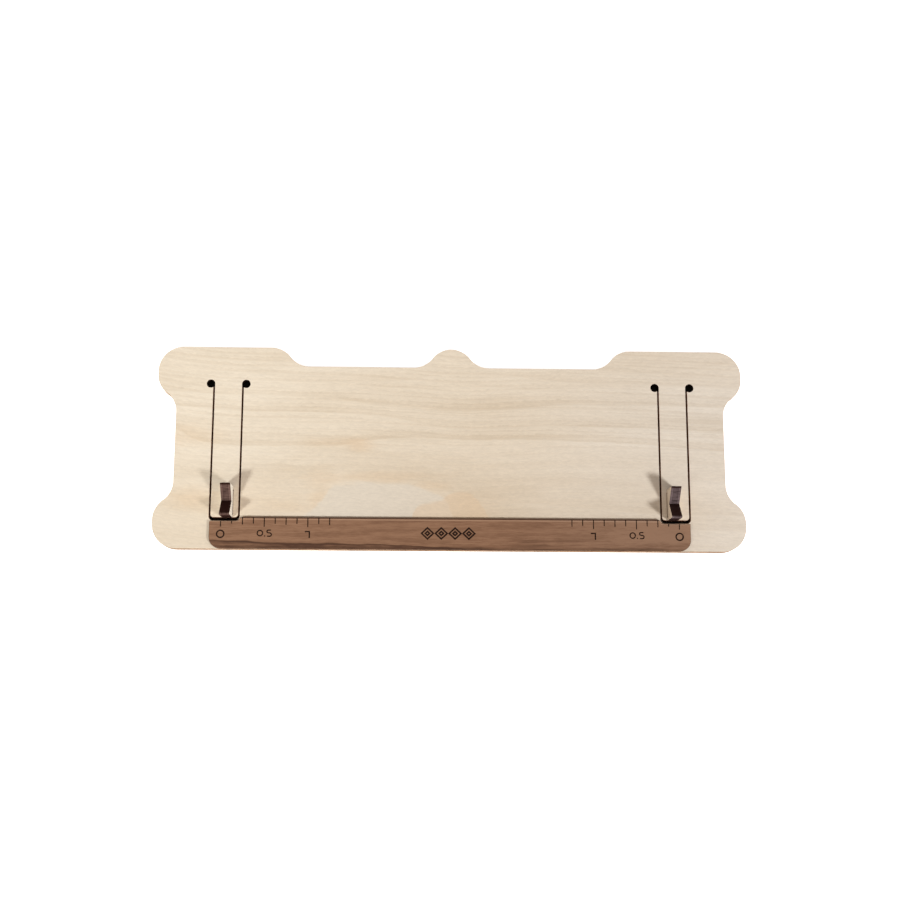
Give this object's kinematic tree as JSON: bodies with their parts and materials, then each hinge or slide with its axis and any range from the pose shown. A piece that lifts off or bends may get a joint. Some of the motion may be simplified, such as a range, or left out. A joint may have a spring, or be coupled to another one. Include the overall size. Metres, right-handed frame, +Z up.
{
  "type": "hand loom",
  "caption": "Flat wooden hand loom: rounded plate with springy cut-out tongues, a notched cord post on each, and a walnut ruler strip along the front.",
  "frame": {"origin": "middle of the plate's underside, where the loom rests on a table", "axes": "+X along the ruler to the right, +Y from the front edge with the ruler to the back edge, +Z up out of the plate"},
  "size_m": [0.1748, 0.0608, 0.0098],
  "materials": {
    "plywood": "bare pale plywood, fine straight grain along the ruler, laser-browned cut edges",
    "post_plywood": "bare pale plywood faces with dark laser-burnt edges and notch",
    "walnut": "thin walnut strip, oiled matt, with laser-engraved scale"
  },
  "bodies": {
    "plate": {"base_plate": "plywood", "ruler_strip": "walnut"},
    "left_arm": {"left_tongue": "plywood", "left_post": "post_plywood"},
    "right_arm": {"right_tongue": "plywood", "right_post": "post_plywood"}
  },
  "joints": [
    {"name": "left_tongue_flex", "type": "hinge", "parent": "plate", "child": "left_arm", "pos_m": [-0.06646, 0.01912, 0.0015], "axis": [-1, 0, 0], "range_deg": [0, 4], "stiffness_Nm_per_rad": 2.5},
    {"name": "right_tongue_flex", "type": "hinge", "parent": "plate", "child": "right_arm", "pos_m": [0.06646, 0.01912, 0.0015], "axis": [-1, 0, 0], "range_deg": [0, 4], "stiffness_Nm_per_rad": 2.5}
  ]
}
